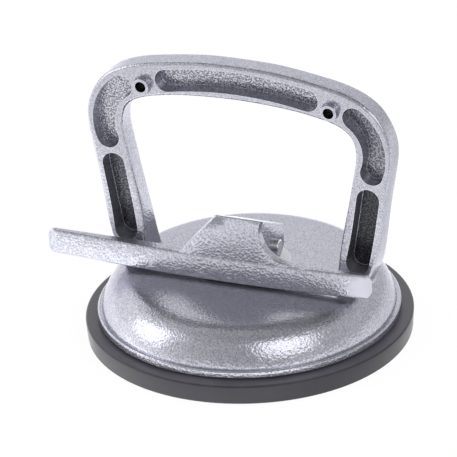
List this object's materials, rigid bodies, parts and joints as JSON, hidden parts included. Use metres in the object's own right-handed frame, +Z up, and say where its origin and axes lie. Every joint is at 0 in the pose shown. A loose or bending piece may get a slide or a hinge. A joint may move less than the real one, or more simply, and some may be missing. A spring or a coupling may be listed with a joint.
{
  "type": "floor tile suction lifter",
  "caption": "Single-cup suction lifter for smooth floor tiles: arch handle over a domed housing, rubber pad, and a cam lever that lifts the middle of the pad.",
  "frame": {"origin": "centre of the pad's underside, on the plane of the tile", "axes": "+Z up, away from the tile, along the pull stud; X along the arch of the handle and along the lever bar; -Y towards the side of the handle that the lever bar is on"},
  "size_m": [0.1349, 0.121, 0.1078],
  "materials": {
    "hammertone_body": "silver-grey hammertone paint on a casting, glossy and finely pebbled",
    "hammertone_lever": "silver-grey hammertone paint on a casting, glossy and finely pebbled",
    "pad_rubber": "matt dark grey rubber",
    "plate_steel": "zinc plated steel",
    "stud_steel": "zinc plated steel",
    "pin_steel": "bright steel",
    "washer_nylon": "natural white nylon"
  },
  "bodies": {
    "housing": {"housing": "hammertone_body", "suction_pad": "pad_rubber", "thrust_washer": "washer_nylon"},
    "stud": {"pull_stud": "stud_steel", "insert_plate": "plate_steel"},
    "lever": {"lever": "hammertone_lever", "pivot_pin": "pin_steel"}
  },
  "joints": [
    {"name": "stud_lift", "type": "slide", "parent": "housing", "child": "stud", "axis": [0, 0, 1], "range_m": [0, 0.0024], "deforming": ["suction_pad"]},
    {"name": "lever_turn", "type": "hinge", "parent": "stud", "child": "lever", "pos_m": [0, 0, 0.035], "axis": [-1, 0, 0], "range_deg": [0, 62]}
  ],
  "couplings": [
    {"joint": "lever_turn", "follows": "stud_lift", "rad_per_m": 450}
  ]
}
